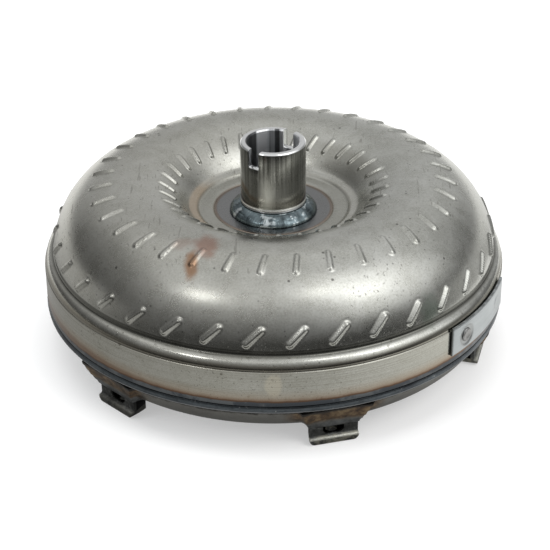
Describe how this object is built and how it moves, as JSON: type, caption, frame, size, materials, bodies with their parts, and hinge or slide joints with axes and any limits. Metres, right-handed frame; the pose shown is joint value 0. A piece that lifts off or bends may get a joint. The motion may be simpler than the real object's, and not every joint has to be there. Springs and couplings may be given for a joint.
{
  "type": "torque converter",
  "caption": "Sealed fluid coupling with stamped torus shell, slotted pump drive hub, dished front cover with bolting lugs, and a bladed turbine and freewheeling stator inside.",
  "frame": {"origin": "on the axis of rotation, in the plane of the lug faces that meet the drive plate, at the centre of the crankshaft pilot's end face", "axes": "+Z along the axis of rotation towards the gearbox (drive hub side), -Y the side with the first lug at 15 degrees towards +X"},
  "size_m": [0.2972, 0.2972, 0.1369],
  "materials": {
    "shell_steel": "satin drawn sheet steel, warm grey, with handling marks and heat tint near welds",
    "machined_steel": "fine turned, bright",
    "blued_weld": "rippled weld metal, dark blue-grey oxide",
    "oxidised_steel": "dark forging scale with worn edges",
    "plate_steel": "plain cold-rolled plate, light grey",
    "blade_steel": "brazed sheet steel, brownish",
    "cast_aluminium": "as cast",
    "bearing_steel": "ground and hardened",
    "spring_steel": "dark tempered steel"
  },
  "bodies": {
    "housing": {"impeller_shell": "shell_steel", "impeller_hub": "machined_steel", "hub_weld_bead": "blued_weld", "impeller_blade_wheel": "blade_steel", "front_cover": "shell_steel", "closure_weld_bead": "blued_weld", "crankshaft_pilot": "machined_steel", "pilot_weld_bead": "blued_weld", "lug_bracket_1": "oxidised_steel", "lug_bracket_2": "oxidised_steel", "lug_bracket_3": "oxidised_steel", "lug_bracket_4": "oxidised_steel", "lug_bracket_5": "oxidised_steel", "lug_bracket_6": "oxidised_steel", "balance_weight": "plate_steel", "balance_weight_spot_weld_1": "plate_steel", "balance_weight_spot_weld_2": "plate_steel", "cover_bearing_race": "bearing_steel", "hub_bearing_race": "bearing_steel"},
    "turbine": {"turbine_shell": "blade_steel", "turbine_blade_wheel": "blade_steel", "turbine_hub": "machined_steel", "turbine_rivet_1": "spring_steel", "turbine_rivet_2": "spring_steel", "turbine_rivet_3": "spring_steel", "turbine_rivet_4": "spring_steel", "turbine_rivet_5": "spring_steel", "turbine_rivet_6": "spring_steel", "turbine_rivet_7": "spring_steel", "turbine_rivet_8": "spring_steel", "turbine_front_race": "bearing_steel", "turbine_rear_race": "bearing_steel"},
    "stator": {"stator_wheel": "cast_aluminium", "freewheel_outer_race": "bearing_steel", "freewheel_front_plate": "spring_steel", "freewheel_rear_plate": "spring_steel", "freewheel_spring_1": "spring_steel", "freewheel_spring_2": "spring_steel", "freewheel_spring_3": "spring_steel", "freewheel_spring_4": "spring_steel", "freewheel_spring_5": "spring_steel", "freewheel_spring_6": "spring_steel", "freewheel_spring_7": "spring_steel", "freewheel_spring_8": "spring_steel", "stator_front_race": "bearing_steel", "stator_rear_race": "bearing_steel"},
    "freewheel_inner": {"freewheel_inner_race": "bearing_steel"},
    "cover_cage": {"cover_needle_cage": "bearing_steel"},
    "middle_cage": {"middle_needle_cage": "bearing_steel"},
    "hub_cage": {"hub_needle_cage": "bearing_steel"},
    "roller_1": {"freewheel_roller_1": "bearing_steel"},
    "roller_2": {"freewheel_roller_2": "bearing_steel"},
    "roller_3": {"freewheel_roller_3": "bearing_steel"},
    "roller_4": {"freewheel_roller_4": "bearing_steel"},
    "roller_5": {"freewheel_roller_5": "bearing_steel"},
    "roller_6": {"freewheel_roller_6": "bearing_steel"},
    "roller_7": {"freewheel_roller_7": "bearing_steel"},
    "roller_8": {"freewheel_roller_8": "bearing_steel"}
  },
  "joints": [
    {"name": "turbine_spin", "type": "hinge", "parent": "housing", "child": "turbine", "pos_m": [0, 0, 0.035], "axis": [0, 0, 1], "continuous": true},
    {"name": "stator_spin", "type": "hinge", "parent": "housing", "child": "stator", "pos_m": [0, 0, 0.0649], "axis": [0, 0, 1], "continuous": true},
    {"name": "freewheel_inner_spin", "type": "hinge", "parent": "stator", "child": "freewheel_inner", "pos_m": [0, 0, 0.0649], "axis": [0, 0, 1], "continuous": true},
    {"name": "cover_cage_spin", "type": "hinge", "parent": "housing", "child": "cover_cage", "pos_m": [0, 0, 0.0201], "axis": [0, 0, 1], "continuous": true},
    {"name": "middle_cage_spin", "type": "hinge", "parent": "turbine", "child": "middle_cage", "pos_m": [0, 0, 0.0497], "axis": [0, 0, 1], "continuous": true},
    {"name": "hub_cage_spin", "type": "hinge", "parent": "housing", "child": "hub_cage", "pos_m": [0, 0, 0.0801], "axis": [0, 0, 1], "continuous": true},
    {"name": "roller_1_spin", "type": "hinge", "parent": "stator", "child": "roller_1", "pos_m": [0, -0.0263, 0.0649], "axis": [0, 0, 1], "continuous": true},
    {"name": "roller_2_spin", "type": "hinge", "parent": "stator", "child": "roller_2", "pos_m": [0.0186, -0.0186, 0.0649], "axis": [0, 0, 1], "continuous": true},
    {"name": "roller_3_spin", "type": "hinge", "parent": "stator", "child": "roller_3", "pos_m": [0.0263, 0, 0.0649], "axis": [0, 0, 1], "continuous": true},
    {"name": "roller_4_spin", "type": "hinge", "parent": "stator", "child": "roller_4", "pos_m": [0.0186, 0.0186, 0.0649], "axis": [0, 0, 1], "continuous": true},
    {"name": "roller_5_spin", "type": "hinge", "parent": "stator", "child": "roller_5", "pos_m": [0, 0.0263, 0.0649], "axis": [0, 0, 1], "continuous": true},
    {"name": "roller_6_spin", "type": "hinge", "parent": "stator", "child": "roller_6", "pos_m": [-0.0186, 0.0186, 0.0649], "axis": [0, 0, 1], "continuous": true},
    {"name": "roller_7_spin", "type": "hinge", "parent": "stator", "child": "roller_7", "pos_m": [-0.0263, 0, 0.0649], "axis": [0, 0, 1], "continuous": true},
    {"name": "roller_8_spin", "type": "hinge", "parent": "stator", "child": "roller_8", "pos_m": [-0.0186, -0.0186, 0.0649], "axis": [0, 0, 1], "continuous": true}
  ],
  "couplings": [
    {"joint": "cover_cage_spin", "follows": "turbine_spin", "ratio": 0.5},
    {"joint": "hub_cage_spin", "follows": "stator_spin", "ratio": 0.5},
    {"joint": "roller_1_spin", "follows": "freewheel_inner_spin", "ratio": -5.5},
    {"joint": "roller_2_spin", "follows": "freewheel_inner_spin", "ratio": -5.5},
    {"joint": "roller_3_spin", "follows": "freewheel_inner_spin", "ratio": -5.5},
    {"joint": "roller_4_spin", "follows": "freewheel_inner_spin", "ratio": -5.5},
    {"joint": "roller_5_spin", "follows": "freewheel_inner_spin", "ratio": -5.5},
    {"joint": "roller_6_spin", "follows": "freewheel_inner_spin", "ratio": -5.5},
    {"joint": "roller_7_spin", "follows": "freewheel_inner_spin", "ratio": -5.5},
    {"joint": "roller_8_spin", "follows": "freewheel_inner_spin", "ratio": -5.5}
  ]
}
